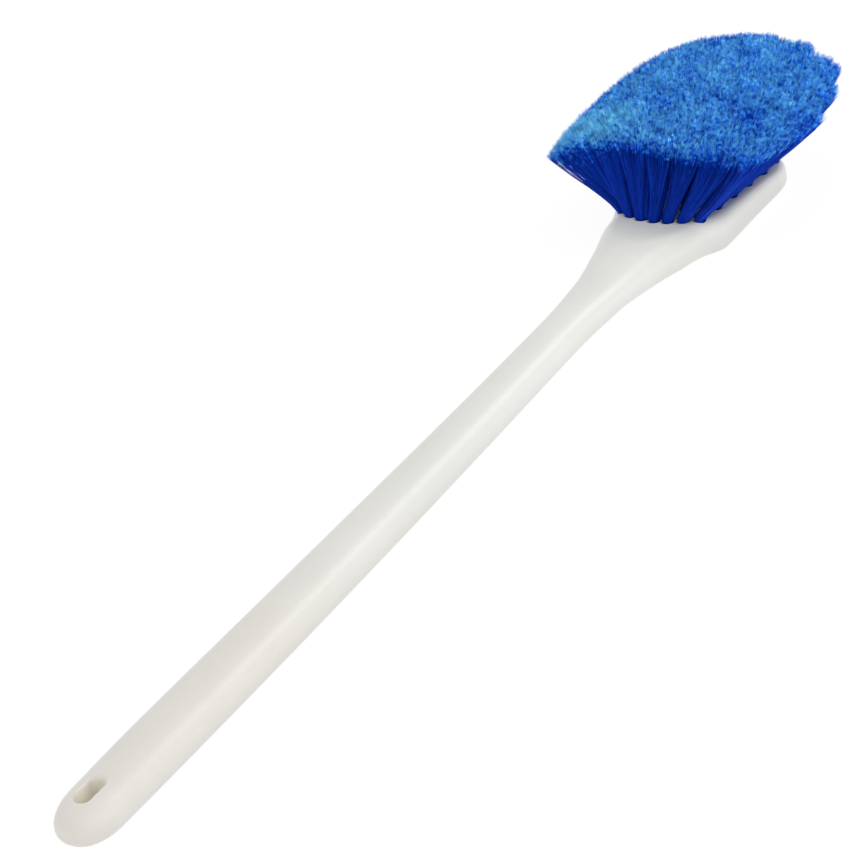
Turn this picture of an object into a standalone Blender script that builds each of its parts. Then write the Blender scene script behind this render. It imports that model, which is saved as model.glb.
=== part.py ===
"""Long-handled wheel brush: one moulded handle and head block, with bristle tufts stapled into it.

The brush lies on its back with its bristles up. +X runs along the handle from the grip end to the
toe of the head, +Z is up, and the XZ plane is the plane of symmetry. The design functions work from
the grip end, and everything hangs on one empty that puts the origin under the middle of the brush.
"""
import math

import bmesh
import bpy
from mathutils import Vector

# Driving dimensions, in metres.
HANDLE_LENGTH = 0.504
GRIP_CAP_LENGTH = 0.018
GRIP_CAP_POWER = 0.78
TOE_CAP_LENGTH = 0.021
TOE_PLAN_POWER = 0.5
TOE_SIDE_POWER = 0.15

# Stations along the handle: distance from the grip end, half width, half thickness,
# height of the section's middle, and how square the section is (2 is an ellipse).
STATIONS = (
    (0.0000, 0.0119, 0.0088, 0.0088, 2.3),
    (0.0560, 0.0124, 0.0092, 0.0092, 2.3),
    (0.1260, 0.0120, 0.0091, 0.0091, 2.3),
    (0.1960, 0.0113, 0.0088, 0.0093, 2.3),
    (0.2710, 0.0104, 0.0083, 0.0099, 2.3),
    (0.3410, 0.0097, 0.0080, 0.0111, 2.3),
    (0.3720, 0.0117, 0.0079, 0.0116, 2.4),
    (0.3960, 0.0160, 0.0096, 0.0121, 2.6),
    (0.4130, 0.0208, 0.0102, 0.0120, 2.9),
    (0.4255, 0.0234, 0.0103, 0.0110, 3.2),
    (0.4330, 0.0264, 0.0100, 0.0100, 3.8),
    (0.4355, 0.0270, 0.0099, 0.0098, 4.1),
    (0.4510, 0.0266, 0.0091, 0.0090, 4.2),
    (0.4660, 0.0262, 0.0082, 0.0081, 4.2),
    (0.4830, 0.0260, 0.0072, 0.0071, 4.2),
    (0.5040, 0.0260, 0.0059, 0.0058, 4.2),
)
FLARE_START = 0.3410
RING_POINTS = 32
SHAFT_RINGS = 14
HEAD_RINGS = 30
CAP_RINGS = 7

# Hang slot through the grip end.
SLOT_MIDDLE = 0.0168
SLOT_LENGTH = 0.0140
SLOT_WIDTH = 0.0074
SLOT_LIP = 0.0010

# Drilled face of the head: it tips down toward the toe.
FACE_TILT = math.radians(6.7)
FACE_START = 0.4225
FACE_HEIGHT = 0.0197

# Tuft layout. Every tuft has a drilled hole, a staple anchor at its bottom and a tuft of bristles.
HEEL_TUFTS = 7
HEEL_X = 0.4230
HEEL_BOW = 0.0060
SIDE_Y = 0.0188
SIDE_PITCH = 0.0133
SIDE_TUFTS = 5
TOE_CORNER_Y = 0.0176
TOE_X = 0.4965
TOE_SPREAD = 0.0089
INNER_X = 0.4355
INNER_Y = 0.0092
INNER_PITCH = 0.0102
INNER_ROWS = 6
HOLE_RADIUS = 0.00265
HOLE_DEPTH = 0.0080
TUFT_RADIUS = 0.00235
GAP = 0.0003
ANCHOR_LENGTH = 0.0044
ANCHOR_HEIGHT = 0.0014
ANCHOR_THICKNESS = 0.0005

# Trimmed end of the bristles, seen from above: half an oval at the toe, and a straight edge with
# tight corners at the heel. The sharpness is the exponent of the outline's superellipse.
TRIM_HEEL_X = 0.4290
TRIM_MIDDLE_X = 0.4800
TRIM_TOE_X = 0.5430
TRIM_HALF_WIDTH = 0.0550
TRIM_HEEL_TAPER = 0.085
TRIM_HEEL_SHARPNESS = 24.0
TRIM_TOE_SHARPNESS = 2.25
TRIM_HEIGHT = 0.0485
TRIM_CROWN = 0.0015
TRIM_SIDE_DROP = 0.0035

# The field of the face that the tufts fill: a rectangle with rounded toe corners.
FIELD_HEEL_X = 0.4200
FIELD_MIDDLE_X = 0.4590
FIELD_TOE_X = 0.5005
FIELD_HALF_WIDTH = 0.0218
FIELD_HEEL_SHARPNESS = 10.0
FIELD_TOE_SHARPNESS = 7.0

OVERALL_LENGTH = TRIM_TOE_X
TUFT_SIDES = 12
TUFT_LEVELS = (0.0, 0.12, 0.4, 0.7, 1.0)

OFF_WHITE = (0.80, 0.79, 0.74)
BRISTLE_BLUE = (0.02, 0.15, 0.55)
ANCHOR_STEEL = (0.62, 0.62, 0.60)


def clear_scene():
    """Remove every object that a new file starts with."""
    for item in list(bpy.data.objects):
        bpy.data.objects.remove(item, do_unlink=True)


def make_material(name, colour, roughness, metallic=0.0):
    """Return a Principled material."""
    material = bpy.data.materials.new(name)
    material.use_nodes = True
    shader = material.node_tree.nodes["Principled BSDF"]
    shader.inputs["Base Color"].default_value = (*colour, 1.0)
    shader.inputs["Roughness"].default_value = roughness
    shader.inputs["Metallic"].default_value = metallic
    material.diffuse_color = (*colour, 1.0)
    return material


def add_object(name, mesh, material, parent):
    """Link a new object to the scene, with one material, under the brush's empty."""
    item = bpy.data.objects.new(name, mesh)
    bpy.context.scene.collection.objects.link(item)
    item.parent = parent
    mesh.materials.append(material)
    return item


def mesh_from_rings(name, rings, end_points=None):
    """Close a stack of rings into one solid, with flat ends or with a point at each end."""
    body = bmesh.new()
    levels = [[body.verts.new(point) for point in ring] for ring in rings]
    count = len(levels[0])
    for lower, upper in zip(levels, levels[1:]):
        for i in range(count):
            k = (i + 1) % count
            body.faces.new((lower[i], lower[k], upper[k], upper[i]))
    if end_points is None:
        body.faces.new(levels[0])
        body.faces.new(levels[-1])
    else:
        for ring, point in ((levels[0], end_points[0]), (levels[-1], end_points[1])):
            tip = body.verts.new(point)
            for i in range(count):
                body.faces.new((ring[i], ring[(i + 1) % count], tip))
    bmesh.ops.recalc_face_normals(body, faces=body.faces)
    mesh = bpy.data.meshes.new(name)
    body.to_mesh(mesh)
    body.free()
    return mesh


def smooth_value(x, column):
    """Read one column of the stations at x, on a curve that doesn't overshoot."""
    last = len(STATIONS) - 2
    i = next((k for k in range(last) if x <= STATIONS[k + 1][0]), last)

    def slope(k):
        """Slope at station k: none at a turning point, else the harmonic mean of its neighbours."""
        if k == 0 or k == len(STATIONS) - 1:
            return 0.0
        before, here, after = STATIONS[k - 1], STATIONS[k], STATIONS[k + 1]
        left = (here[column] - before[column]) / (here[0] - before[0])
        right = (after[column] - here[column]) / (after[0] - here[0])
        return 0.0 if left * right <= 0 else 2 * left * right / (left + right)

    start, end = STATIONS[i], STATIONS[i + 1]
    span = end[0] - start[0]
    t = (x - start[0]) / span
    ease = t * t * (3 - 2 * t)
    value = start[column] * (1 - ease) + end[column] * ease
    value += span * t * (1 - t) * ((1 - t) * slope(i) - t * slope(i + 1))
    return value


def section_ring(x, width_scale=1.0, thickness_scale=1.0):
    """One cross-section at x: a rounded oval, flat where it rests and where the head is drilled."""
    half_width = smooth_value(x, 1) * width_scale
    half_thickness = smooth_value(x, 2) * thickness_scale
    middle = smooth_value(x, 3)
    power = 2 / smooth_value(x, 4)
    drilled_face = face_point(x, 0.0).z
    ring = []
    for i in range(RING_POINTS):
        angle = 2 * math.pi * (i + 0.5) / RING_POINTS
        across = math.copysign(abs(math.cos(angle)) ** power, math.cos(angle))
        up = math.copysign(abs(math.sin(angle)) ** power, math.sin(angle))
        height = min(max(middle + half_thickness * up, 0.0), drilled_face)
        ring.append((x, half_width * across, height))
    return ring


def even_steps(start, end, count):
    """Evenly spaced values from start to end, both ends included."""
    return [start + (end - start) * i / (count - 1) for i in range(count)]


def handle_mesh():
    """The moulded handle and head block as one closed loft, rounded at both ends."""
    shaft_start = GRIP_CAP_LENGTH
    toe_start = HANDLE_LENGTH - TOE_CAP_LENGTH
    rings = []
    for i in range(1, CAP_RINGS + 1):
        angle = math.pi / 2 * i / (CAP_RINGS + 1)
        scale = math.sin(angle) ** GRIP_CAP_POWER
        rings.append(section_ring(shaft_start * (1 - math.cos(angle)), scale, scale))
    for x in even_steps(shaft_start, FLARE_START, SHAFT_RINGS)[:-1]:
        rings.append(section_ring(x))
    for x in even_steps(FLARE_START, toe_start, HEAD_RINGS):
        rings.append(section_ring(x))
    for i in range(1, CAP_RINGS):
        angle = math.pi / 2 * i / CAP_RINGS
        share = math.cos(angle)
        x = toe_start + TOE_CAP_LENGTH * math.sin(angle)
        rings.append(section_ring(x, share ** TOE_PLAN_POWER, share ** TOE_SIDE_POWER))
    tips = ((0.0, 0.0, STATIONS[0][3]), (HANDLE_LENGTH, 0.0, STATIONS[-1][3]))
    return mesh_from_rings("handle", rings, tips)


def face_normal():
    """Outward normal of the drilled face."""
    return Vector((math.sin(FACE_TILT), 0.0, math.cos(FACE_TILT)))


def face_point(x, y):
    """The point of the drilled face above x, y."""
    return Vector((x, y, FACE_HEIGHT - (x - FACE_START) * math.tan(FACE_TILT)))


def tuft_places():
    """Where the tufts stand: a bowed heel row, a row up each side, a toe row, and staggered rows inside."""
    places = []
    for y in even_steps(-SIDE_Y, SIDE_Y, HEEL_TUFTS):
        places.append((HEEL_X + HEEL_BOW * (y / SIDE_Y) ** 2, y))
    corner_x = HEEL_X + HEEL_BOW
    for row in range(1, SIDE_TUFTS + 1):
        side_y = SIDE_Y if row < SIDE_TUFTS else TOE_CORNER_Y
        for side in (-1, 1):
            places.append((corner_x + SIDE_PITCH * row, side * side_y))
    for y in (-TOE_SPREAD, 0.0, TOE_SPREAD):
        places.append((TOE_X, y))
    for row in range(INNER_ROWS):
        x = INNER_X + INNER_PITCH * row
        row_ys = (-INNER_Y, INNER_Y) if row % 2 == 0 else (0.0,)
        places.extend((x, y) for y in row_ys)
    return places


def outline_reach(u, v, sharpness):
    """Distance from the middle of a superellipse to its outline, as a multiple of the point u, v."""
    return (abs(u) ** sharpness + abs(v) ** sharpness) ** (-1 / sharpness)


def field_shares(x, y):
    """A face point as shares of the field's half length (heel negative, toe positive) and half width."""
    half_length = FIELD_MIDDLE_X - FIELD_HEEL_X if x < FIELD_MIDDLE_X else FIELD_TOE_X - FIELD_MIDDLE_X
    return (x - FIELD_MIDDLE_X) / half_length, y / FIELD_HALF_WIDTH


def inside_field(x, y):
    """True where the point lies inside the tufted field's outline."""
    u, v = field_shares(x, y)
    sharpness = FIELD_HEEL_SHARPNESS if u < 0 else FIELD_TOE_SHARPNESS
    return (u, v) == (0.0, 0.0) or outline_reach(u, v, sharpness) >= 1.0


def trimmed_point(x, y):
    """Where a bristle that starts at x, y on the face ends, on the crowned trimmed surface."""
    u, v = field_shares(x, y)
    if abs(u) + abs(v) > 1e-9:
        if u < 0:
            stretch = outline_reach(u, v, TRIM_HEEL_SHARPNESS) / outline_reach(u, v, FIELD_HEEL_SHARPNESS)
        else:
            stretch = outline_reach(u, v, TRIM_TOE_SHARPNESS) / outline_reach(u, v, FIELD_TOE_SHARPNESS)
        u, v = u * stretch, v * stretch
    half_length = TRIM_MIDDLE_X - TRIM_HEEL_X if u < 0 else TRIM_TOE_X - TRIM_MIDDLE_X
    taper = 1 - TRIM_HEEL_TAPER * u ** 2 if u < 0 else 1.0
    crown = TRIM_CROWN * (1 - max(abs(u), abs(v)) ** 2)
    height = TRIM_HEIGHT + crown - TRIM_SIDE_DROP * v ** 2 * (1 - u ** 2)
    return Vector((TRIM_MIDDLE_X + u * half_length, v * TRIM_HALF_WIDTH * taper, height))


def cell_radius(place, places, angle):
    """How far a tuft may spread from its place in one direction, before a neighbour or the edge."""
    direction = (math.cos(angle), math.sin(angle))
    reach = FIELD_TOE_X - FIELD_HEEL_X
    for other in places:
        offset = (other[0] - place[0], other[1] - place[1])
        distance = math.hypot(*offset)
        facing = (offset[0] * direction[0] + offset[1] * direction[1]) / distance if distance > 0 else 0
        if facing > 0.05:
            reach = min(reach, (distance / 2 - GAP / 2) / facing)
    low, high = 0.0, reach
    for _ in range(24):
        trial = (low + high) / 2
        inside = inside_field(place[0] + trial * direction[0], place[1] + trial * direction[1])
        low, high = (trial, high) if inside else (low, trial)
    return max(low, TUFT_RADIUS)


def hole_ring(place, depth, radius, sides):
    """A circle square to the drilled face, at a depth below it."""
    centre = face_point(*place) - face_normal() * depth
    along = Vector((math.cos(FACE_TILT), 0.0, -math.sin(FACE_TILT)))
    across = Vector((0.0, 1.0, 0.0))
    angles = [2 * math.pi * i / sides for i in range(sides)]
    return [centre + radius * (along * math.cos(a) + across * math.sin(a)) for a in angles]


def tuft_mesh(name, place, places):
    """A tuft: round in its hole, then fanning out to its own share of the trimmed surface."""
    bottom = HOLE_DEPTH - ANCHOR_HEIGHT - 2 * GAP
    rings = [hole_ring(place, bottom, TUFT_RADIUS, TUFT_SIDES)]
    spread = [cell_radius(place, places, 2 * math.pi * i / TUFT_SIDES) for i in range(TUFT_SIDES)]
    for level in TUFT_LEVELS:
        ring = []
        for i in range(TUFT_SIDES):
            angle = 2 * math.pi * i / TUFT_SIDES
            radius = TUFT_RADIUS + (spread[i] - TUFT_RADIUS) * level ** 0.7
            x = place[0] + radius * math.cos(angle)
            y = place[1] + radius * math.sin(angle)
            ring.append(face_point(x, y).lerp(trimmed_point(x, y), level))
        rings.append(ring)
    tips = (face_point(*place) - face_normal() * bottom, trimmed_point(*place))
    return mesh_from_rings(name, rings, tips)


def anchor_mesh(name, place):
    """The small flat staple across the bottom of one tuft's hole."""
    body = bmesh.new()
    bmesh.ops.create_cube(body, size=1.0)
    bmesh.ops.scale(body, vec=(ANCHOR_THICKNESS, ANCHOR_LENGTH, ANCHOR_HEIGHT), verts=body.verts)
    bmesh.ops.rotate(body, matrix=face_normal().to_track_quat("Z", "Y").to_matrix(), verts=body.verts)
    middle = face_point(*place) - face_normal() * (HOLE_DEPTH - GAP - ANCHOR_HEIGHT / 2)
    bmesh.ops.translate(body, vec=middle, verts=body.verts)
    mesh = bpy.data.meshes.new(name)
    body.to_mesh(mesh)
    body.free()
    return mesh


def slot_ring(height, grow):
    """The outline of the hang slot at one height: straight sides and round ends."""
    radius = SLOT_WIDTH / 2 + grow
    straight = (SLOT_LENGTH - SLOT_WIDTH) / 2
    ring = []
    for i in range(24):
        angle = 2 * math.pi * (i + 0.5) / 24
        end = straight if math.cos(angle) > 0 else -straight
        ring.append((SLOT_MIDDLE + end + radius * math.cos(angle), radius * math.sin(angle), height))
    return ring


def cut_openings(handle, places, material, parent):
    """Cut the hang slot and every tuft hole out of the handle."""
    above_face = -0.006
    cutters = {}
    for number, place in enumerate(places, start=1):
        rings = [hole_ring(place, depth, HOLE_RADIUS, 12) for depth in (HOLE_DEPTH, above_face)]
        cutters[f"cut_hole_{number:02d}"] = mesh_from_rings("hole", rings)
    floor = smooth_value(SLOT_MIDDLE, 3) - smooth_value(SLOT_MIDDLE, 2)
    top = smooth_value(SLOT_MIDDLE, 3) + smooth_value(SLOT_MIDDLE, 2)
    levels = ((floor - SLOT_LIP, 2 * SLOT_LIP), (floor + SLOT_LIP, 0.0))
    levels += ((top - SLOT_LIP, 0.0), (top + SLOT_LIP, 2 * SLOT_LIP))
    cutters["cut_hang_slot"] = mesh_from_rings("slot", [slot_ring(z, grow) for z, grow in levels])
    for name, mesh in cutters.items():
        cutter = add_object(name, mesh, material, parent)
        cutter.hide_render = True
        cutter.display_type = "WIRE"
        cut = handle.modifiers.new(name, "BOOLEAN")
        cut.operation = "DIFFERENCE"
        cut.solver = "EXACT"
        cut.object = cutter


def build_brush():
    """Build the handle, the tufts and their anchors."""
    clear_scene()
    brush = bpy.data.objects.new("brush", None)
    brush.location = (-OVERALL_LENGTH / 2, 0.0, 0.0)
    bpy.context.scene.collection.objects.link(brush)
    plastic = make_material("handle_plastic", OFF_WHITE, 0.45)
    bristle = make_material("bristle_plastic", BRISTLE_BLUE, 0.4)
    steel = make_material("anchor_steel", ANCHOR_STEEL, 0.35, 1.0)
    places = tuft_places()
    handle = add_object("handle", handle_mesh(), plastic, brush)
    cut_openings(handle, places, plastic, brush)
    for number, place in enumerate(places, start=1):
        tuft_name = f"tuft_{number:02d}"
        anchor_name = f"anchor_{number:02d}"
        add_object(tuft_name, tuft_mesh(tuft_name, place, places), bristle, brush)
        add_object(anchor_name, anchor_mesh(anchor_name, place), steel, brush)
    bpy.context.view_layer.update()


build_brush()
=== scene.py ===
"""The looks of the long-handled wheel brush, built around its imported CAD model.

The handle is rebuilt as a fine smooth moulding with the same sections, and each CAD tuft is replaced
by its own bundle of filaments, with split and paler tips, that fills the same hole and the same share
of the trimmed surface. The bench under the brush, the lamps and the camera are stage pieces.
"""
import math

import bmesh
import bpy
import numpy as np
from mathutils import Matrix, Vector
from mathutils.kdtree import KDTree

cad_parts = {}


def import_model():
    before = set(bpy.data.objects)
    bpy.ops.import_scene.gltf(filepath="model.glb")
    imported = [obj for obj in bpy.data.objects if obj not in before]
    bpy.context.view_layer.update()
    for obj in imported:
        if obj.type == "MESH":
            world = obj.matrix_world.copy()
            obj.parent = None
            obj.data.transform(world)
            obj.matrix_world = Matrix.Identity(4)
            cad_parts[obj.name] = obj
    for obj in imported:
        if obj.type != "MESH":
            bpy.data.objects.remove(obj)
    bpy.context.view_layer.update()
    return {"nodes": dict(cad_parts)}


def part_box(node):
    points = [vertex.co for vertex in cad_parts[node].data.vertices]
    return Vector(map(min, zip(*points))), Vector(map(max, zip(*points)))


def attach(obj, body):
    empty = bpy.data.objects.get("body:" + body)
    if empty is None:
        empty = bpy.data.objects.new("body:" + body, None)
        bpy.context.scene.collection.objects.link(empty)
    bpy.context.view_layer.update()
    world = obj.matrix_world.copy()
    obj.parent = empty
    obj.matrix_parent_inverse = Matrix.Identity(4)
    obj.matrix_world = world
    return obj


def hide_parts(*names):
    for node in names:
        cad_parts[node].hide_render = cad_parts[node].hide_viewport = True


SEED = 20

# Handle sections: distance from the grip end, half width, half thickness, height of the middle,
# squareness (2 is an ellipse). They are the CAD model's own driving sections.
STATIONS = (
    (0.0000, 0.0119, 0.0088, 0.0088, 2.3),
    (0.0560, 0.0124, 0.0092, 0.0092, 2.3),
    (0.1260, 0.0120, 0.0091, 0.0091, 2.3),
    (0.1960, 0.0113, 0.0088, 0.0093, 2.3),
    (0.2710, 0.0104, 0.0083, 0.0099, 2.3),
    (0.3410, 0.0097, 0.0080, 0.0111, 2.3),
    (0.3720, 0.0117, 0.0079, 0.0116, 2.4),
    (0.3960, 0.0160, 0.0096, 0.0121, 2.6),
    (0.4130, 0.0208, 0.0102, 0.0120, 2.9),
    (0.4255, 0.0234, 0.0103, 0.0110, 3.2),
    (0.4330, 0.0264, 0.0100, 0.0100, 3.8),
    (0.4355, 0.0270, 0.0099, 0.0098, 4.1),
    (0.4510, 0.0266, 0.0091, 0.0090, 4.2),
    (0.4660, 0.0262, 0.0082, 0.0081, 4.2),
    (0.4830, 0.0260, 0.0072, 0.0071, 4.2),
    (0.5040, 0.0260, 0.0059, 0.0058, 4.2),
)
FLARE_START = 0.3410
GRIP_CAP_LENGTH = 0.018
GRIP_CAP_POWER = 0.78
TOE_CAP_LENGTH = 0.021
TOE_PLAN_POWER = 0.5
TOE_SIDE_POWER = 0.15
FACE_TILT = math.radians(6.7)
FACE_START = 0.4225
FACE_HEIGHT = 0.0197
FACE_BLEND = 0.0007
RING_POINTS = 160
PARTING_LINE_HEIGHT = 0.00010
PARTING_LINE_WIDTH = 0.00045
FLAT_BLEND = 0.0003
CAP_STEPS = 24
SHAFT_STEPS = 120
HEAD_STEPS = 150

SLOT_MIDDLE = 0.0168
SLOT_LENGTH = 0.0140
SLOT_WIDTH = 0.0074
SLOT_LIP = 0.0012
SLOT_POINTS = 48
SLOT_LEVELS = 25

# The drilled holes: depths below the face and radii, from the bottom up past the broken edge.
HOLE_PROFILE = (
    (0.0082, 0.00262),
    (0.0006, 0.00262),
    (-0.0004, 0.0034),
    (-0.0050, 0.0034),
)
HOLE_POINTS = 32

# The trimmed end of the bristles and the field of holes, as in the CAD model.
TRIM_HEEL_X = 0.4290
TRIM_MIDDLE_X = 0.4800
TRIM_TOE_X = 0.5430
TRIM_HALF_WIDTH = 0.0550
TRIM_HEEL_TAPER = 0.085
TRIM_HEEL_SHARPNESS = 24.0
NEAR_SIDE_TAPER = 0.115
TRIM_TOE_SHARPNESS = 2.25
TRIM_HEIGHT = 0.0485
TRIM_CROWN = 0.0015
TRIM_SIDE_DROP = 0.0035
FIELD_HEEL_X = 0.4200
FIELD_MIDDLE_X = 0.4590
FIELD_TOE_X = 0.5005
FIELD_HALF_WIDTH = 0.0218
FIELD_HEEL_SHARPNESS = 10.0
FIELD_TOE_SHARPNESS = 7.0
ROOT_RADIUS = 0.00255
ROOT_BULGE = 0.30
ROOT_BULGE_HEIGHT = 0.0010
BUNDLE_LENGTH = 0.009
BUNDLE_LEAN = 1.35
TIP_LEAN = 0.32

# Filaments: how they are spaced, bent and split at the tip.
FILAMENT_SPACING = 0.00064
FILAMENT_RADIUS = 0.00013
FILAMENT_TAPER = 0.85
FILAMENT_WAVER = 0.00012
BENDS = (0.0, 0.13, 0.28, 0.46, 0.65)
ROOT_DEPTH = 0.003
SIDE_HINT = (0.31, 0.87, 0.12)
SPLIT_HAIRS = 4
SPLIT_START = 0.84
SPLIT_SPLAY = 0.00038
HAIR_RADIUS = 0.000075
ROW_PITCH = 0.866
GRID_MARGIN = 0.002
GRID_SHAKE = 0.42
TIP_UNEVENNESS = 0.00025
RIM_RAGGEDNESS = 0.006
RIM_WEAR = 0.0012
RIM_WEAR_START = 0.88

# The locks that filaments gather into.
LOCK_SPACING = 0.0017
LOCK_PULL = 0.25
LOCK_LIFT = 0.0009
LOCK_EDGE = 0.96

# Strays on the rim: their share, where the rim starts, and how far they stand out and hang down.
STRAY_SHARE = 0.0015
STRAY_EDGE = 0.93
STRAY_REACH = (0.0005, 0.0020)
STRAY_DROP = 0.002

# Colour strips across the UV map, and how the pale tips fade on the rim and are darkened by painted shade in
# the partings.
UV_STRIPS = 48
SINGLE_COLOUR_SHARE = 0.2
RIM_START = 0.90
RIM_BLEND = 0.05
RIM_SHADE = 0.085
PARTING_SHADE = 30.0

# Colours of the moulding: cool towards the head and warm at the grip, each from dark to light.
COOL_WHITE = ((0.790, 0.795, 0.745), (0.820, 0.825, 0.785))
WARM_WHITE = ((0.795, 0.755, 0.700), (0.825, 0.790, 0.745))
# Inside the hang slot: a cream tint, made brighter as painted light coming through the slot.
SLOT_CREAM_AND_LIGHT = (0.990, 0.950, 0.780)
WARM_REACH = 0.24
# Painted shade: the moulding darkens towards the floor, from its full colour at this height down to this
# share of it at the bottom.
LOW_SHADE_HEIGHT = 0.014
LOW_SHADE_FACTOR = 0.72

# Colours along one filament, and the shades that its colour strip multiplies them by.
FILAMENT_COLOURS = (
    (0.00, (0.001, 0.034, 0.410)),
    (0.78, (0.001, 0.048, 0.530)),
    (0.84, (0.002, 0.090, 0.760)),
    (0.89, (0.020, 0.255, 0.940)),
    (0.97, (0.150, 0.630, 0.980)),
)
STRIP_SHADES = (
    (0.0, (0.38, 0.48, 0.66)),
    (0.9, (1.50, 1.35, 1.30)),
    (1.0, (3.20, 2.00, 1.60)),
)
# Reach of the painted glare that lightens the tips around the splayed corner.
GLARE_REACH = 0.035

# The worn toe edge: angle about the middle of the trimmed end, in degrees from the toe toward +y, and
# how far out the bristles reach in that direction, as a share of the trimmed outline.
TOE_EDGE = (
    (-95.0, 1.015),
    (-87.0, 1.000),
    (-84.0, 0.940),
    (-77.0, 0.985),
    (-69.0, 0.980),
    (-60.0, 0.945),
    (-53.0, 0.990),
    (-41.0, 0.940),
    (-33.0, 0.865),
    (-28.0, 0.935),
    (-22.0, 0.955),
    (-12.0, 0.930),
    (-4.0, 0.950),
    (0.0, 1.000),
    (15.0, 1.015),
    (95.0, 1.010),
)

# Where the bristles part (distance from the grip end, distance across, reach, depth), the corner
# that is splayed, and the middle of a patch of painted glare that lightens the tips near it.
PARTINGS = (
    (0.4965, -0.0265, 0.0022, 0.0034),
    (0.4675, -0.0275, 0.0050, 0.0020),
    (0.4680, 0.0400, 0.0030, 0.0018),
)
SPLAYED_CORNER = (0.4310, 0.0500)
GLARE_CORNER = (0.4430, 0.0420, 0.0480)
SPLAY_REACH = 0.013
SPLAY_DROP = 0.0030

# The heel edge of the trimmed end isn't straight: how far from the grip end it is, across the brush.
HEEL_EDGE = (
    (-0.0500, 0.4300),
    (-0.0410, 0.4300),
    (-0.0350, 0.4340),
    (-0.0215, 0.4320),
    (-0.0070, 0.4340),
    (0.0130, 0.4385),
    (0.0270, 0.4410),
    (0.0390, 0.4385),
    (0.0450, 0.4290),
    (0.0500, 0.4225),
)

# The camera, about the middle of the handle.
CAMERA_AZIMUTH = -51.203
CAMERA_ELEVATION = 29.93
CAMERA_ROLL = -12.918
CAMERA_DISTANCE = 1.411
CAMERA_TARGET = (-0.0215, 0.0, 0.0102)
CAMERA_OFFSET = (-0.00503, 0.00953)
CAMERA_LENS = 150.8

# The studio: area lamps that face the middle of the brush (name, place, width, power), the even
# surround, and the floor that glows a little so that it leaves hardly any shadow.
LAMPS = (
    ("key", (1.08, -0.64, 0.99), 0.7, 5.0),
    ("front_fill", (0.0, -1.6, 0.6), 1.2, 2.5),
    ("grip_fill", (-1.4, -0.5, 0.9), 1.2, 1.6),
)
SURROUND_LIGHT = 0.75
FLOOR_HALF_SIZE = 6.0
FLOOR_GREY = 0.15
FLOOR_GLOW = 0.90


# ---------------------------------------------------------------- materials

def new_material(name):
    """A new material, its node tree and its shader."""
    material = bpy.data.materials.new(name)
    material.use_nodes = True
    tree = material.node_tree
    return material, tree, tree.nodes["Principled BSDF"]


def grey(level):
    """A neutral colour."""
    return (level, level, level)


def add_noise(tree, coordinates, scale, detail=3.0, roughness=0.5):
    """A noise texture read at the given coordinates."""
    noise = tree.nodes.new("ShaderNodeTexNoise")
    noise.inputs["Scale"].default_value = scale
    noise.inputs["Detail"].default_value = detail
    noise.inputs["Roughness"].default_value = roughness
    tree.links.new(coordinates, noise.inputs["Vector"])
    return noise


def add_ramp(tree, factor, stops):
    """A colour ramp with (position, colour) stops."""
    ramp = tree.nodes.new("ShaderNodeValToRGB")
    elements = ramp.color_ramp.elements
    while len(elements) < len(stops):
        elements.new(0.5)
    for element, (position, colour) in zip(elements, stops):
        element.position = position
        element.color = (*colour, 1.0)
    tree.links.new(factor, ramp.inputs["Fac"])
    return ramp


def add_mix(tree, factor, first, second, blend="MIX"):
    """Mix two colours; each input is a socket or a plain value."""
    mix = tree.nodes.new("ShaderNodeMix")
    mix.data_type = "RGBA"
    mix.blend_type = blend
    for socket, value in ((mix.inputs[0], factor), (mix.inputs[6], first), (mix.inputs[7], second)):
        if isinstance(value, bpy.types.NodeSocket):
            tree.links.new(value, socket)
        else:
            socket.default_value = value
    return mix.outputs[2]


def add_maths(tree, operation, *values):
    """A maths node; each input is a socket or a plain number."""
    node = tree.nodes.new("ShaderNodeMath")
    node.operation = operation
    for socket, value in zip(node.inputs, values):
        if isinstance(value, bpy.types.NodeSocket):
            tree.links.new(value, socket)
        else:
            socket.default_value = value
    return node.outputs[0]


def add_spherical(tree, coordinates, middle, radii):
    """A gradient that is 1 at the middle and 0 from the given radii outwards."""
    mapping = tree.nodes.new("ShaderNodeMapping")
    mapping.vector_type = "TEXTURE"
    mapping.inputs["Location"].default_value = middle
    mapping.inputs["Scale"].default_value = radii
    tree.links.new(coordinates, mapping.inputs["Vector"])
    gradient = tree.nodes.new("ShaderNodeTexGradient")
    gradient.gradient_type = "SPHERICAL"
    tree.links.new(mapping.outputs["Vector"], gradient.inputs["Vector"])
    return gradient.outputs["Fac"]


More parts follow.
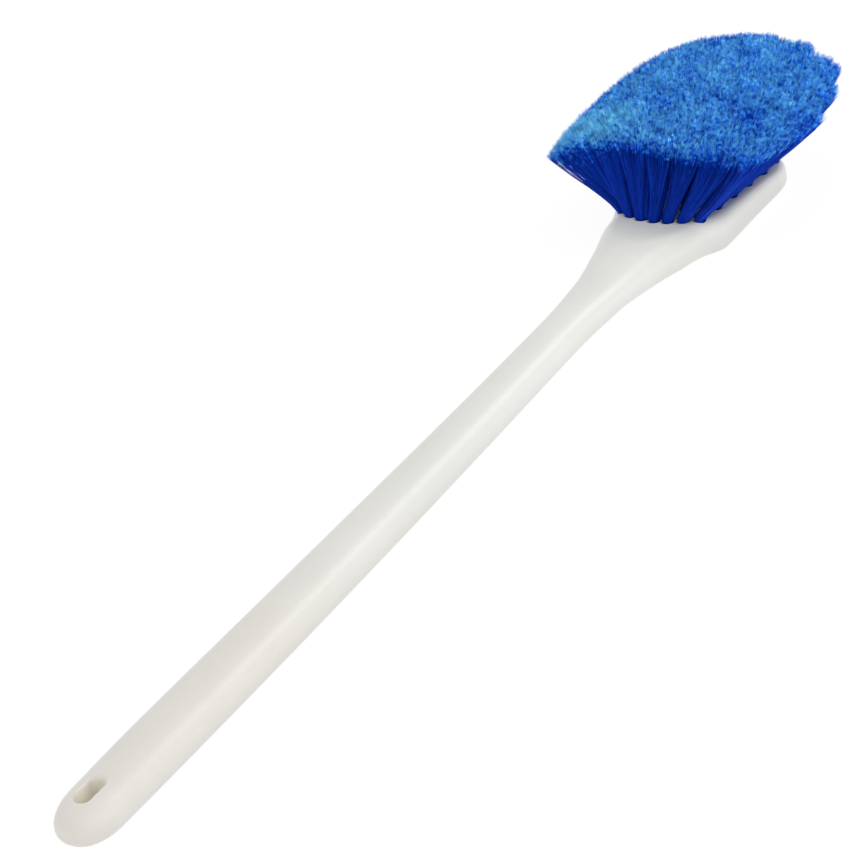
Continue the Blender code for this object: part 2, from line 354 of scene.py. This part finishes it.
def moulded_plastic(grip_end):
    """Off-white foamed polypropylene: satin and a little yellowed at the grip, cream and brightened by
    painted light inside the hang slot, and darkened by painted shade towards the bottom.
    """
    material, tree, shader = new_material("handle_plastic")
    place = tree.nodes.new("ShaderNodeTexCoord").outputs["Object"]
    clouds = add_noise(tree, place, 28.0, 4.0, 0.6)
    cool, warm = (
        add_ramp(tree, clouds.outputs["Fac"], ((0.30, dark), (0.70, light)))
        for dark, light in (COOL_WHITE, WARM_WHITE)
    )
    slot_middle = (grip_end + SLOT_MIDDLE, 0.0, 0.0)
    nearness = add_spherical(tree, place, slot_middle, (WARM_REACH, WARM_REACH, WARM_REACH))
    aged = add_ramp(tree, nearness, ((0.0, grey(0.0)), (0.7, grey(1.0))))
    tone = add_mix(tree, aged.outputs["Color"], cool.outputs["Color"], warm.outputs["Color"])
    # Painted light: the inside of the hang slot is brightened to cream.
    slot = add_spherical(tree, place, slot_middle, (SLOT_LENGTH * 0.58, SLOT_WIDTH * 0.62, 1.0))
    inside = add_ramp(tree, slot, ((0.0, grey(0.0)), (0.30, grey(1.0))))
    tone = add_mix(tree, inside.outputs["Color"], tone, (*SLOT_CREAM_AND_LIGHT, 1.0))
    split = tree.nodes.new("ShaderNodeSeparateXYZ")
    tree.links.new(place, split.inputs["Vector"])
    # Painted shade: the moulding is darker towards the bottom.
    height = add_maths(tree, "MULTIPLY", split.outputs["Z"], 1 / LOW_SHADE_HEIGHT)
    low_shade = add_ramp(tree, height, ((0.0, grey(LOW_SHADE_FACTOR)), (1.0, grey(1.0))))
    tone = add_mix(tree, 1.0, tone, low_shade.outputs["Color"], "MULTIPLY")
    tree.links.new(tone, shader.inputs["Base Color"])
    grain = add_noise(tree, place, 900.0, 2.0, 0.5)
    gloss = add_ramp(tree, grain.outputs["Fac"], ((0.25, grey(0.30)), (0.75, grey(0.40))))
    tree.links.new(gloss.outputs["Color"], shader.inputs["Roughness"])
    bump = tree.nodes.new("ShaderNodeBump")
    bump.inputs["Strength"].default_value = 0.12
    bump.inputs["Distance"].default_value = 0.0003
    tree.links.new(grain.outputs["Fac"], bump.inputs["Height"])
    tree.links.new(bump.outputs["Normal"], shader.inputs["Normal"])
    shader.inputs["Specular IOR Level"].default_value = 0.5
    return material


def bristle_plastic(glare_corner):
    """Blue filament: deep and glossy along its length, paler and duller at its split tip."""
    material, tree, shader = new_material("bristle_plastic")
    strand = tree.nodes.new("ShaderNodeUVMap")
    strand.uv_map = "OFBake"
    split = tree.nodes.new("ShaderNodeSeparateXYZ")
    tree.links.new(strand.outputs["UV"], split.inputs["Vector"])
    place = tree.nodes.new("ShaderNodeTexCoord").outputs["Object"]
    grain = add_noise(tree, place, 620.0, 1.0, 0.5)
    patches = add_noise(tree, place, 75.0, 2.0, 0.5)
    shift = add_maths(tree, "MULTIPLY_ADD", grain.outputs["Fac"], 0.50, -0.29)
    shift = add_maths(tree, "MULTIPLY_ADD", patches.outputs["Fac"], 0.16, shift)
    # Painted glare: the tips near the splayed corner are lightened.
    glare = add_spherical(tree, place, glare_corner, (GLARE_REACH, GLARE_REACH, GLARE_REACH))
    shift = add_maths(tree, "MULTIPLY_ADD", glare, 0.12, shift)
    level = add_maths(tree, "MULTIPLY", add_maths(tree, "ADD", split.outputs["Y"], shift), 0.9)
    along = add_ramp(tree, level, FILAMENT_COLOURS)
    stripes = tree.nodes.new("ShaderNodeTexWhiteNoise")
    stripes.noise_dimensions = "1D"
    step = add_maths(tree, "MULTIPLY", split.outputs["X"], UV_STRIPS)
    tree.links.new(add_maths(tree, "FLOOR", step), stripes.inputs["W"])
    shade = add_ramp(tree, stripes.outputs["Value"], STRIP_SHADES)
    colour = add_mix(tree, 1.0, along.outputs["Color"], shade.outputs["Color"], "MULTIPLY")
    tree.links.new(colour, shader.inputs["Base Color"])
    dull = add_ramp(tree, split.outputs["Y"], ((0.7, grey(0.36)), (1.0, grey(0.66))))
    tree.links.new(dull.outputs["Color"], shader.inputs["Roughness"])
    shader.inputs["Specular IOR Level"].default_value = 0.1
    return material


def anchor_steel():
    """Bright rolled staple wire."""
    material, tree, shader = new_material("anchor_steel")
    place = tree.nodes.new("ShaderNodeTexCoord").outputs["Object"]
    streaks = add_noise(tree, place, 2500.0, 2.0, 0.5)
    tone = add_ramp(tree, streaks.outputs["Fac"], ((0.3, (0.42, 0.42, 0.41)), (0.7, (0.62, 0.62, 0.60))))
    tree.links.new(tone.outputs["Color"], shader.inputs["Base Color"])
    shader.inputs["Metallic"].default_value = 1.0
    shader.inputs["Roughness"].default_value = 0.35
    return material


def floor_material():
    """Softly glowing white studio floor."""
    material, tree, shader = new_material("studio_floor")
    shader.inputs["Base Color"].default_value = (*grey(FLOOR_GREY), 1.0)
    shader.inputs["Roughness"].default_value = 0.9
    shader.inputs["Specular IOR Level"].default_value = 0.0
    shader.inputs["Emission Color"].default_value = (1.0, 1.0, 1.0, 1.0)
    shader.inputs["Emission Strength"].default_value = FLOOR_GLOW
    return material


# ---------------------------------------------------------------- handle

def section_values(x):
    """Half width, half thickness, middle height and squareness at x, without overshoot."""
    last = len(STATIONS) - 2
    i = next((k for k in range(last) if x <= STATIONS[k + 1][0]), last)
    start, end = STATIONS[i], STATIONS[i + 1]
    span = end[0] - start[0]
    t = (x - start[0]) / span
    ease = t * t * (3 - 2 * t)

    def slope(k, column):
        """Slope at station k: none at a turning point, else the harmonic mean of its neighbours."""
        if k == 0 or k == len(STATIONS) - 1:
            return 0.0
        before, here, after = STATIONS[k - 1], STATIONS[k], STATIONS[k + 1]
        left = (here[column] - before[column]) / (here[0] - before[0])
        right = (after[column] - here[column]) / (after[0] - here[0])
        return 0.0 if left * right <= 0 else 2 * left * right / (left + right)

    values = []
    for column in range(1, 5):
        value = start[column] * (1 - ease) + end[column] * ease
        value += span * t * (1 - t) * ((1 - t) * slope(i, column) - t * slope(i + 1, column))
        values.append(value)
    return values


def soft_min(a, b, width):
    """The smaller of two heights, rounded over a width where they meet."""
    h = np.clip(0.5 + 0.5 * (b - a) / width, 0.0, 1.0)
    return b * (1 - h) + a * h - width * h * (1 - h)


def face_height(x):
    """Height of the drilled face at x."""
    return FACE_HEIGHT - (x - FACE_START) * math.tan(FACE_TILT)


def section_ring(x, grip_end, width_scale=1.0, thickness_scale=1.0):
    """One fine cross-section of the moulding, in the brush's own frame."""
    half_width, half_thickness, middle, square = section_values(x)
    angle = 2 * np.pi * (np.arange(RING_POINTS) + 0.5) / RING_POINTS
    power = 2 / square
    across = np.sign(np.cos(angle)) * np.abs(np.cos(angle)) ** power
    up = np.sign(np.sin(angle)) * np.abs(np.sin(angle)) ** power
    y = half_width * width_scale * across
    z = middle + half_thickness * thickness_scale * up
    ridge = PARTING_LINE_HEIGHT * np.exp(-((z - middle) / PARTING_LINE_WIDTH) ** 2) * width_scale
    y = y + np.sign(y) * ridge
    z = soft_min(z, face_height(x), FACE_BLEND)
    z = -soft_min(-z, 0.0, FLAT_BLEND)
    return np.stack([np.full(RING_POINTS, x + grip_end), y, np.maximum(z, 0.0)], axis=1)


def handle_rings(grip_end):
    """All cross-sections from the grip end to the toe."""
    rings = []
    toe_start = STATIONS[-1][0] - TOE_CAP_LENGTH
    for i in range(1, CAP_STEPS + 1):
        angle = math.pi / 2 * i / (CAP_STEPS + 1)
        x = GRIP_CAP_LENGTH * (1 - math.cos(angle))
        scale = math.sin(angle) ** GRIP_CAP_POWER
        rings.append(section_ring(x, grip_end, scale, scale))
    for x in np.linspace(GRIP_CAP_LENGTH, FLARE_START, SHAFT_STEPS)[:-1]:
        rings.append(section_ring(x, grip_end))
    for x in np.linspace(FLARE_START, toe_start, HEAD_STEPS):
        rings.append(section_ring(x, grip_end))
    for i in range(1, CAP_STEPS):
        angle = math.pi / 2 * i / CAP_STEPS
        x = toe_start + TOE_CAP_LENGTH * math.sin(angle)
        share = math.cos(angle)
        rings.append(section_ring(x, grip_end, share ** TOE_PLAN_POWER, share ** TOE_SIDE_POWER))
    return rings


def loft(name, rings, closed_tips=True):
    """A closed mesh through a stack of rings, with a fan of triangles or one flat face at each end."""
    count = len(rings[0])
    points = np.concatenate(rings)
    faces = []
    for level in range(len(rings) - 1):
        base = level * count
        for i in range(count):
            k = (i + 1) % count
            faces.append((base + i, base + k, base + count + k, base + count + i))
    last = (len(rings) - 1) * count
    if closed_tips:
        points = np.concatenate([points, [rings[0].mean(axis=0)], [rings[-1].mean(axis=0)]])
        for i in range(count):
            k = (i + 1) % count
            faces.append((i, k, len(points) - 2))
            faces.append((last + i, last + k, len(points) - 1))
    else:
        faces.append(tuple(range(count)))
        faces.append(tuple(range(last, last + count)))
    mesh = bpy.data.meshes.new(name)
    mesh.from_pydata([tuple(p) for p in points], [], faces)
    body = bmesh.new()
    body.from_mesh(mesh)
    bmesh.ops.recalc_face_normals(body, faces=body.faces)
    body.to_mesh(mesh)
    body.free()
    return mesh


def slot_cutter(grip_end):
    """The hang slot's cutter, with a rounded lip where it leaves each side of the grip."""
    _, half_thickness, middle, _ = section_values(SLOT_MIDDLE)
    straight = (SLOT_LENGTH - SLOT_WIDTH) / 2
    angle = 2 * np.pi * (np.arange(SLOT_POINTS) + 0.5) / SLOT_POINTS
    rings = []
    for t in np.linspace(-1.0, 1.0, SLOT_LEVELS):
        height = middle + t * (half_thickness + SLOT_LIP)
        inside = max(0.0, abs(height - middle) - (half_thickness - SLOT_LIP)) / SLOT_LIP
        grow = SLOT_LIP * (1 - math.sqrt(1 - min(inside, 1.0) ** 2))
        grow += SLOT_LIP / 2 * max(0.0, inside - 1)
        radius = SLOT_WIDTH / 2 + grow
        x = SLOT_MIDDLE + grip_end + np.sign(np.cos(angle)) * straight + radius * np.cos(angle)
        rings.append(np.stack([x, radius * np.sin(angle), np.full(SLOT_POINTS, height)], axis=1))
    return loft("slot_cutter", rings, closed_tips=False)


def hole_cutter(tuft):
    """One drilled hole with a slightly broken edge at the face."""
    along = np.array([math.cos(FACE_TILT), 0.0, -math.sin(FACE_TILT)])
    across = np.array([0.0, 1.0, 0.0])
    angle = 2 * np.pi * np.arange(HOLE_POINTS) / HOLE_POINTS
    circle = np.outer(np.cos(angle), along) + np.outer(np.sin(angle), across)
    rings = []
    for depth, radius in HOLE_PROFILE:
        rings.append(tuft["mouth"] - tuft["normal"] * depth + circle * radius)
    return loft("hole_cutter", rings, closed_tips=False)


def apply_modifiers(item):
    """Bake an object's modifiers into its mesh."""
    bpy.context.view_layer.update()
    evaluated = item.evaluated_get(bpy.context.evaluated_depsgraph_get())
    finished = bpy.data.meshes.new_from_object(evaluated)
    item.modifiers.clear()
    item.data = finished


def link_object(name, mesh, material):
    """Put a mesh in the scene with one material."""
    item = bpy.data.objects.new(name, mesh)
    bpy.context.scene.collection.objects.link(item)
    mesh.materials.clear()
    mesh.materials.append(material)
    return item


def build_handle(tufts, material):
    """The fine moulding, with its hang slot and its drilled holes."""
    grip_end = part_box("handle")[0].x
    handle = link_object("moulded_handle", loft("moulded_handle", handle_rings(grip_end)), material)
    cutters = [slot_cutter(grip_end)] + [hole_cutter(tuft) for tuft in tufts]
    joined = bmesh.new()
    for mesh in cutters:
        joined.from_mesh(mesh)
    cutter_mesh = bpy.data.meshes.new("handle_cutters")
    joined.to_mesh(cutter_mesh)
    joined.free()
    cutter = link_object("handle_cutters", cutter_mesh, material)
    cut = handle.modifiers.new("openings", "BOOLEAN")
    cut.operation = "DIFFERENCE"
    cut.solver = "EXACT"
    cut.object = cutter
    apply_modifiers(handle)
    bpy.data.objects.remove(cutter, do_unlink=True)
    handle.data.shade_smooth()
    handle.data.set_sharp_from_angle(angle=math.radians(50))
    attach(handle, "root")
    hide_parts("handle")


# ---------------------------------------------------------------- bristles

def tuft_mouth(node):
    """The middle of a CAD tuft's hole where it meets the drilled face, and the face's normal."""
    points = np.array([v.co for v in node.data.vertices], float)
    normal = np.array([math.sin(FACE_TILT), 0.0, math.cos(FACE_TILT)])
    depth = points @ normal
    bottom = np.unique(points[depth < depth.min() + 0.0002].round(6), axis=0).mean(axis=0)
    drop = face_height(bottom[0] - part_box("handle")[0].x) - bottom[2]
    return {"mouth": bottom + normal * drop * math.cos(FACE_TILT), "normal": normal}


def outline_reach(u, v, sharpness):
    """Distance to a superellipse's outline, as a multiple of the point u, v."""
    return (np.abs(u) ** sharpness + np.abs(v) ** sharpness + 1e-12) ** (-1 / sharpness)


def jittered_grid(spacing, rng):
    """Tip places over the trimmed outline, in brush coordinates: a staggered grid, shaken a little."""
    xs = np.arange(TRIM_HEEL_X - GRID_MARGIN, TRIM_TOE_X + GRID_MARGIN, spacing * ROW_PITCH)
    ys = np.arange(-TRIM_HALF_WIDTH - GRID_MARGIN, TRIM_HALF_WIDTH + GRID_MARGIN, spacing)
    x, y = np.meshgrid(xs, ys, indexing="ij")
    y = y + spacing / 2 * (np.arange(len(xs)) % 2)[:, None]
    place = np.stack([x.ravel(), y.ravel()], axis=1)
    return place + rng.uniform(-GRID_SHAKE, GRID_SHAKE, place.shape) * spacing


def trim_shares(place):
    """Tip places as shares of the trimmed outline's half length and half width."""
    dx = place[:, 0] - TRIM_MIDDLE_X
    u = np.where(dx < 0, dx / (TRIM_MIDDLE_X - TRIM_HEEL_X), dx / (TRIM_TOE_X - TRIM_MIDDLE_X))
    taper = np.where(u < 0, 1 - TRIM_HEEL_TAPER * u ** 2, 1.0)
    return u, place[:, 1] / (TRIM_HALF_WIDTH * taper)


def edge_share(u, v):
    """How far out a tip stands: 0 in the middle of the trimmed end, 1 on its outline."""
    sharpness = np.where(u < 0, TRIM_HEEL_SHARPNESS, TRIM_TOE_SHARPNESS)
    return 1 / outline_reach(u, v, sharpness)


def face_place(u, v):
    """Where on the drilled face the filament under each tip starts."""
    trim = np.where(u < 0, TRIM_HEEL_SHARPNESS, TRIM_TOE_SHARPNESS)
    field = np.where(u < 0, FIELD_HEEL_SHARPNESS, FIELD_TOE_SHARPNESS)
    stretch = outline_reach(u, v, trim) / outline_reach(u, v, field)
    u, v = u / stretch, v / stretch
    length = np.where(u < 0, FIELD_MIDDLE_X - FIELD_HEEL_X, FIELD_TOE_X - FIELD_MIDDLE_X)
    return np.stack([FIELD_MIDDLE_X + u * length, v * FIELD_HALF_WIDTH], axis=1)


def nearest(places, points):
    """For each point, the index of the nearest place, in plan."""
    tree = KDTree(len(places))
    for i, (x, y) in enumerate(places):
        tree.insert((x, y, 0.0), i)
    tree.balance()
    return np.array([tree.find((x, y, 0.0))[1] for x, y in points])


def parting_depth(place):
    """How far the bristles dip at each tip, where they part."""
    dip = np.zeros(len(place))
    for x, y, radius, depth in PARTINGS:
        away = (place[:, 0] - x) ** 2 + (place[:, 1] - y) ** 2
        dip += depth * np.exp(-away / radius ** 2)
    return dip


def tip_heights(place, u, v, edge):
    """Height of each tip on the trimmed surface, with its dips, its worn rim and its splayed corner."""
    crown = TRIM_CROWN * (1 - np.maximum(np.abs(u), np.abs(v)) ** 2)
    height = TRIM_HEIGHT + crown - TRIM_SIDE_DROP * v ** 2 * (1 - u ** 2)
    height -= RIM_WEAR * np.clip((edge - RIM_WEAR_START) / (1 - RIM_WEAR_START), 0, 1) ** 2
    height -= parting_depth(place)
    corner = np.hypot(place[:, 0] - SPLAYED_CORNER[0], place[:, 1] - SPLAYED_CORNER[1]) / SPLAY_REACH
    outer = np.clip((np.abs(v) - 0.88) / 0.10, 0, 1) ** 1.5
    height -= SPLAY_DROP * outer * np.exp(-corner ** 2)
    return height


def root_offsets(away, tuft):
    """Pack each tuft's roots evenly into its round hole, in the same order as its tips."""
    offsets = np.zeros_like(away)
    for index in range(tuft.max() + 1):
        mine = np.flatnonzero(tuft == index)
        angle = np.arctan2(away[mine, 1], away[mine, 0])
        turn = (np.argsort(np.argsort(angle)) + 0.5) / len(mine)
        distance = np.argsort(np.argsort(np.linalg.norm(away[mine], axis=1)))
        radius = ROOT_RADIUS * np.sqrt((distance + 0.5) / len(mine))
        first = angle.min()
        offsets[mine, 0] = radius * np.cos(first + 2 * np.pi * turn)
        offsets[mine, 1] = radius * np.sin(first + 2 * np.pi * turn)
    return offsets


def edge_reach(u, v):
    """How far out the bristles reach in each direction, as a share of the trimmed outline."""
    angles, shares = np.array(TOE_EDGE).T
    worn = np.interp(np.degrees(np.arctan2(v, u)), angles, shares)
    return np.where(u < 0, 1.0, worn)


def heel_shift(place, u):
    """How far the tips near the heel stand from the straight heel edge."""
    ys, xs = np.array(HEEL_EDGE).T
    return (np.interp(place[:, 1], ys, xs) - TRIM_HEEL_X) * np.where(u < 0, np.abs(u) ** 2.5, 0.0)


def drawn_tips(place, u, v, edge, lock_places):
    """Tips drawn toward their lock, along the uneven heel edge and the narrower near side."""
    tip = place + (lock_places - place) * LOCK_PULL * (edge < LOCK_EDGE)[:, None]
    tip[:, 0] += heel_shift(place, u)
    tip[:, 1] *= np.where((u < 0) & (v < 0), 1 - NEAR_SIDE_TAPER * np.abs(u) ** 1.2, 1.0)
    return tip


def colour_strips(lock, lock_count, rng):
    """Each filament's colour strip: that of its lock, except for a few that have their own."""
    strip = rng.integers(0, UV_STRIPS, lock_count)[lock]
    single = rng.random(len(lock)) < SINGLE_COLOUR_SHARE
    strip[single] = rng.integers(0, UV_STRIPS, single.sum())
    return strip


def plan_filaments(mouths, rng):
    """Lay out every filament: its tuft, root offset, tip, colour strip and how pale its tip gets."""
    place = jittered_grid(FILAMENT_SPACING, rng)
    u, v = trim_shares(place)
    keep = edge_share(u, v) < edge_reach(u, v) + rng.normal(0.0, RIM_RAGGEDNESS, len(place))
    place, u, v = place[keep], u[keep], v[keep]
    edge = edge_share(u, v)
    count = len(place)
    locks = jittered_grid(LOCK_SPACING, rng)
    lock = nearest(locks, place)
    start = face_place(u, v)
    tuft = nearest(mouths[:, :2], start)
    evenness = 1 - 0.6 * np.clip((edge - 0.8) / 0.15, 0, 1)
    lift = rng.normal(0.0, LOCK_LIFT, len(locks))[lock] * evenness
    height = tip_heights(place, u, v, edge) + lift + rng.normal(0.0, TIP_UNEVENNESS, count)
    tip = drawn_tips(place, u, v, edge, locks[lock])
    strays = rng.random(count) < STRAY_SHARE * (edge > STRAY_EDGE)
    tip[strays] += np.stack([u, v], axis=1)[strays] * rng.uniform(*STRAY_REACH, (strays.sum(), 1))
    height[strays] -= rng.uniform(0.0, STRAY_DROP, strays.sum())
    strip = colour_strips(lock, len(locks), rng)
    rim_shade = np.clip((edge - RIM_START) / RIM_BLEND, 0, 1) * rng.uniform(0.0, RIM_SHADE, count)
    return {
        "tuft": tuft,
        "root": root_offsets(start - mouths[tuft, :2], tuft),
        "tip": np.column_stack([tip, height]),
        "strip": strip,
        # painted shade: the tips are darker where the bristles part
        "pale": 1 - rim_shade - PARTING_SHADE * parting_depth(place),
    }


def strand_paths(mouth, normal, roots, tips, rng):
    """Centre lines of filaments: bundled as they leave the hole, then fanned to their tips."""
    count = len(roots)
    along = np.array([math.cos(FACE_TILT), 0.0, -math.sin(FACE_TILT)])
    offset = roots[:, :1] * along + roots[:, 1:] * np.array([0.0, 1.0, 0.0])
    base = mouth + offset
    bundle = (tips.mean(axis=0) - mouth) * (BUNDLE_LEAN, BUNDLE_LEAN, 1.0)
    bundle /= np.linalg.norm(bundle)
    leaving = base + normal * ROOT_BULGE_HEIGHT + offset * ROOT_BULGE
    knee = leaving + bundle * BUNDLE_LENGTH
    elbow = tips - (tips - knee) * (TIP_LEAN, TIP_LEAN, 0.5)
    t = np.array([*BENDS, SPLIT_START, 1.0])[None, :, None]
    curve = (1 - t) ** 3 * leaving[:, None] + 3 * t * (1 - t) ** 2 * knee[:, None]
    curve += 3 * t ** 2 * (1 - t) * elbow[:, None] + t ** 3 * tips[:, None]
    curve[:, 2:-1] += rng.normal(0.0, FILAMENT_WAVER, (count, len(BENDS) - 1, 3))
    inside = base - normal * ROOT_DEPTH
    return np.concatenate([inside[:, None], base[:, None], curve], axis=1)


def strand_points(paths, radii):
    """Three points around each level of many paths."""
    direction = np.gradient(paths, axis=1)
    direction /= np.linalg.norm(direction, axis=2, keepdims=True) + 1e-12
    side = np.cross(direction, np.array(SIDE_HINT))
    side /= np.linalg.norm(side, axis=2, keepdims=True) + 1e-12
    other = np.cross(direction, side)
    angles = 2 * np.pi * np.arange(3) / 3
    rings = [paths + radii[None, :, None] * (math.cos(a) * side + math.sin(a) * other) for a in angles]
    return np.stack(rings, axis=2).reshape(-1, 3)


def strand_faces(count, levels):
    """The quads along many closed strands and the triangles at their ends."""
    first = (np.arange(count) * levels * 3)[:, None]
    level = (np.arange(levels - 1) * 3)[None, :, None]
    corner = np.arange(3)[None, None, :]
    low = first[:, :, None] + level
    following = (corner + 1) % 3
    quads = np.stack([low + corner, low + following, low + 3 + following, low + 3 + corner], axis=-1)
    root_ends = first + np.array([2, 1, 0])
    tip_ends = first + (levels - 1) * 3 + np.array([0, 1, 2])
    return quads.reshape(-1, 4), np.concatenate([root_ends, tip_ends])


def strand_uvs(levels, v_range, strips, pale):
    """UVs of the same faces: U is the colour strip, and V runs along the strand up to how pale it gets."""
    count = len(strips)
    v = np.linspace(*v_range, levels)
    left = (strips + 0.15) / UV_STRIPS
    right = (strips + 0.85) / UV_STRIPS
    quads = np.zeros((count, levels - 1, 3, 4, 2))
    quads[..., 0] = np.stack([left, right, right, left], axis=1)[:, None, None, :]
    quads[..., 1] = np.stack([v[:-1], v[:-1], v[1:], v[1:]], axis=1)[None, :, None, :]
    quads[..., 1] *= pale[:, None, None, None]
    ends = np.zeros((2, count, 3, 2))
    ends[..., 0] = np.stack([left, right, right], axis=1)
    sliver = np.array([0.0, 0.0, 0.01])
    ends[0, ..., 1] = (v[0] + sliver) * pale[:, None]
    ends[1, ..., 1] = (v[-1] - sliver) * pale[:, None]
    return quads.reshape(-1, 2), ends.reshape(-1, 2)


def make_strands(paths, radii, v_range, strips, pale):
    """Points, quads, triangles and their UVs, for thin closed strands along many paths."""
    count, levels, _ = paths.shape
    quads, triangles = strand_faces(count, levels)
    quad_uvs, triangle_uvs = strand_uvs(levels, v_range, strips, pale)
    return strand_points(paths, radii), quads, triangles, quad_uvs, triangle_uvs


def strand_mesh(name, groups):
    """One mesh from several groups of strands."""
    group_points, group_quads, group_triangles, quad_uvs, triangle_uvs = zip(*groups)
    offsets = np.cumsum([0] + [len(points) for points in group_points[:-1]])
    points = np.concatenate(group_points)
    quads = np.concatenate([faces + offset for faces, offset in zip(group_quads, offsets)])
    triangles = np.concatenate([faces + offset for faces, offset in zip(group_triangles, offsets)])
    corners = np.concatenate([quads.ravel(), triangles.ravel()])
    starts = np.concatenate([np.arange(len(quads)) * 4, quads.size + np.arange(len(triangles)) * 3])
    mesh = bpy.data.meshes.new(name)
    mesh.vertices.add(len(points))
    mesh.vertices.foreach_set("co", points.astype(np.float32).ravel())
    mesh.loops.add(len(corners))
    mesh.loops.foreach_set("vertex_index", corners.astype(np.int32))
    mesh.polygons.add(len(starts))
    mesh.polygons.foreach_set("loop_start", starts.astype(np.int32))
    layer = mesh.uv_layers.new(name="OFBake")
    uv = np.concatenate(quad_uvs + triangle_uvs)
    layer.data.foreach_set("uv", uv.astype(np.float32).ravel())
    mesh.update(calc_edges=True)
    mesh.validate()
    mesh.shade_smooth()
    return mesh


def build_tuft(name, node_name, tuft, plan, index, material, rng):
    """One bundle of filaments with split tips, in place of one CAD tuft."""
    mine = plan["tuft"] == index
    strips = plan["strip"][mine]
    pale = plan["pale"][mine]
    paths = strand_paths(tuft["mouth"], tuft["normal"], plan["root"][mine], plan["tip"][mine], rng)
    count = len(paths)
    shaft = paths[:, :-1]
    radii = np.linspace(FILAMENT_RADIUS, FILAMENT_RADIUS * FILAMENT_TAPER, shaft.shape[1])
    hair_radii = HAIR_RADIUS * np.array([1.2, 1.0, 0.5])
    groups = [make_strands(shaft, radii, (0.0, SPLIT_START), strips, pale)]
    base = shaft[:, -1]
    run = paths[:, -1] - base
    for _ in range(SPLIT_HAIRS):
        splay = rng.normal(0.0, SPLIT_SPLAY, (count, 3))
        end = base + run * rng.uniform(0.90, 1.04, (count, 1)) + splay
        middle = base + run * 0.5 + splay * 0.4
        hair = np.stack([base - run * 0.05, middle, end], axis=1)
        groups.append(make_strands(hair, hair_radii, (SPLIT_START, 1.0), strips, pale))
    item = link_object(name, strand_mesh(name, groups), material)
    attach(item, "root")
    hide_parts(node_name)


def build_bristles(tufts, material):
    """Every tuft's filaments, laid out together so that the trimmed end is one surface."""
    rng = np.random.default_rng(SEED)
    grip_end = np.array([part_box("handle")[0].x, 0.0, 0.0])
    mouths = np.array([tuft["mouth"] - grip_end for tuft in tufts.values()])
    plan = plan_filaments(mouths, rng)
    plan["tip"] = plan["tip"] + grip_end
    for index, (name, tuft) in enumerate(tufts.items()):
        build_tuft(name.replace("tuft", "bristles"), name, tuft, plan, index, material, rng)


# ---------------------------------------------------------------- stage

def build_stage():
    """A pale floor that the brush lies on."""
    mesh = bpy.data.meshes.new("floor")
    corners = [(x * FLOOR_HALF_SIZE, y * FLOOR_HALF_SIZE, 0) for x, y in ((-1, -1), (1, -1), (1, 1), (-1, 1))]
    mesh.from_pydata(corners, [], [(0, 1, 2, 3)])
    floor = link_object("floor", mesh, floor_material())


def add_area_lamp(name, place, width, power):
    """A soft square lamp that faces the middle of the brush."""
    lamp = bpy.data.lights.new(name, "AREA")
    lamp.shape = "SQUARE"
    lamp.size = width
    lamp.energy = power
    item = bpy.data.objects.new(name, lamp)
    item.location = place
    item.rotation_euler = (-Vector(place)).to_track_quat("-Z", "Y").to_euler()
    bpy.context.scene.collection.objects.link(item)


def build_lights():
    """Soft studio light: an even white surround and a few large lamps."""
    world = bpy.data.worlds.new("studio")
    world.use_nodes = True
    background = world.node_tree.nodes["Background"]
    background.inputs["Color"].default_value = (1.0, 1.0, 1.0, 1.0)
    background.inputs["Strength"].default_value = SURROUND_LIGHT
    bpy.context.scene.world = world
    for name, place, width, power in LAMPS:
        add_area_lamp(name, place, width, power)


def build_camera():
    """The photograph's viewpoint."""
    azimuth = math.radians(CAMERA_AZIMUTH)
    elevation = math.radians(CAMERA_ELEVATION)
    roll = math.radians(CAMERA_ROLL)
    back = Vector((
        math.sin(azimuth) * math.cos(elevation),
        -math.cos(azimuth) * math.cos(elevation),
        math.sin(elevation),
    ))
    level = Vector((math.cos(azimuth), math.sin(azimuth), 0.0))
    upright = back.cross(level)
    right = level * math.cos(roll) + upright * math.sin(roll)
    up = upright * math.cos(roll) - level * math.sin(roll)
    place = Vector(CAMERA_TARGET) + back * CAMERA_DISTANCE
    place += right * CAMERA_OFFSET[0] + up * CAMERA_OFFSET[1]
    data = bpy.data.cameras.new("camera")
    data.lens = CAMERA_LENS
    data.clip_start = 0.05
    camera = bpy.data.objects.new("camera", data)
    camera.matrix_world = Matrix((
        (right.x, up.x, back.x, place.x),
        (right.y, up.y, back.y, place.y),
        (right.z, up.z, back.z, place.z),
        (0.0, 0.0, 0.0, 1.0),
    ))
    bpy.context.scene.collection.objects.link(camera)
    bpy.context.scene.camera = camera


def build_scene():
    """Load the CAD frame and build everything that is seen."""
    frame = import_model()
    nodes = frame["nodes"]
    tuft_names = sorted(name for name in nodes if name.startswith("tuft_"))
    tufts = {name: tuft_mouth(nodes[name]) for name in tuft_names}
    grip_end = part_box("handle")[0].x
    steel = anchor_steel()
    for name, node in nodes.items():
        if name.startswith("anchor_"):
            node.data.materials.clear()
            node.data.materials.append(steel)
    build_handle(list(tufts.values()), moulded_plastic(grip_end))
    build_bristles(tufts, bristle_plastic((grip_end + GLARE_CORNER[0], *GLARE_CORNER[1:])))
    build_stage()
    build_lights()
    build_camera()
    bpy.context.scene.view_settings.view_transform = "Standard"


build_scene()
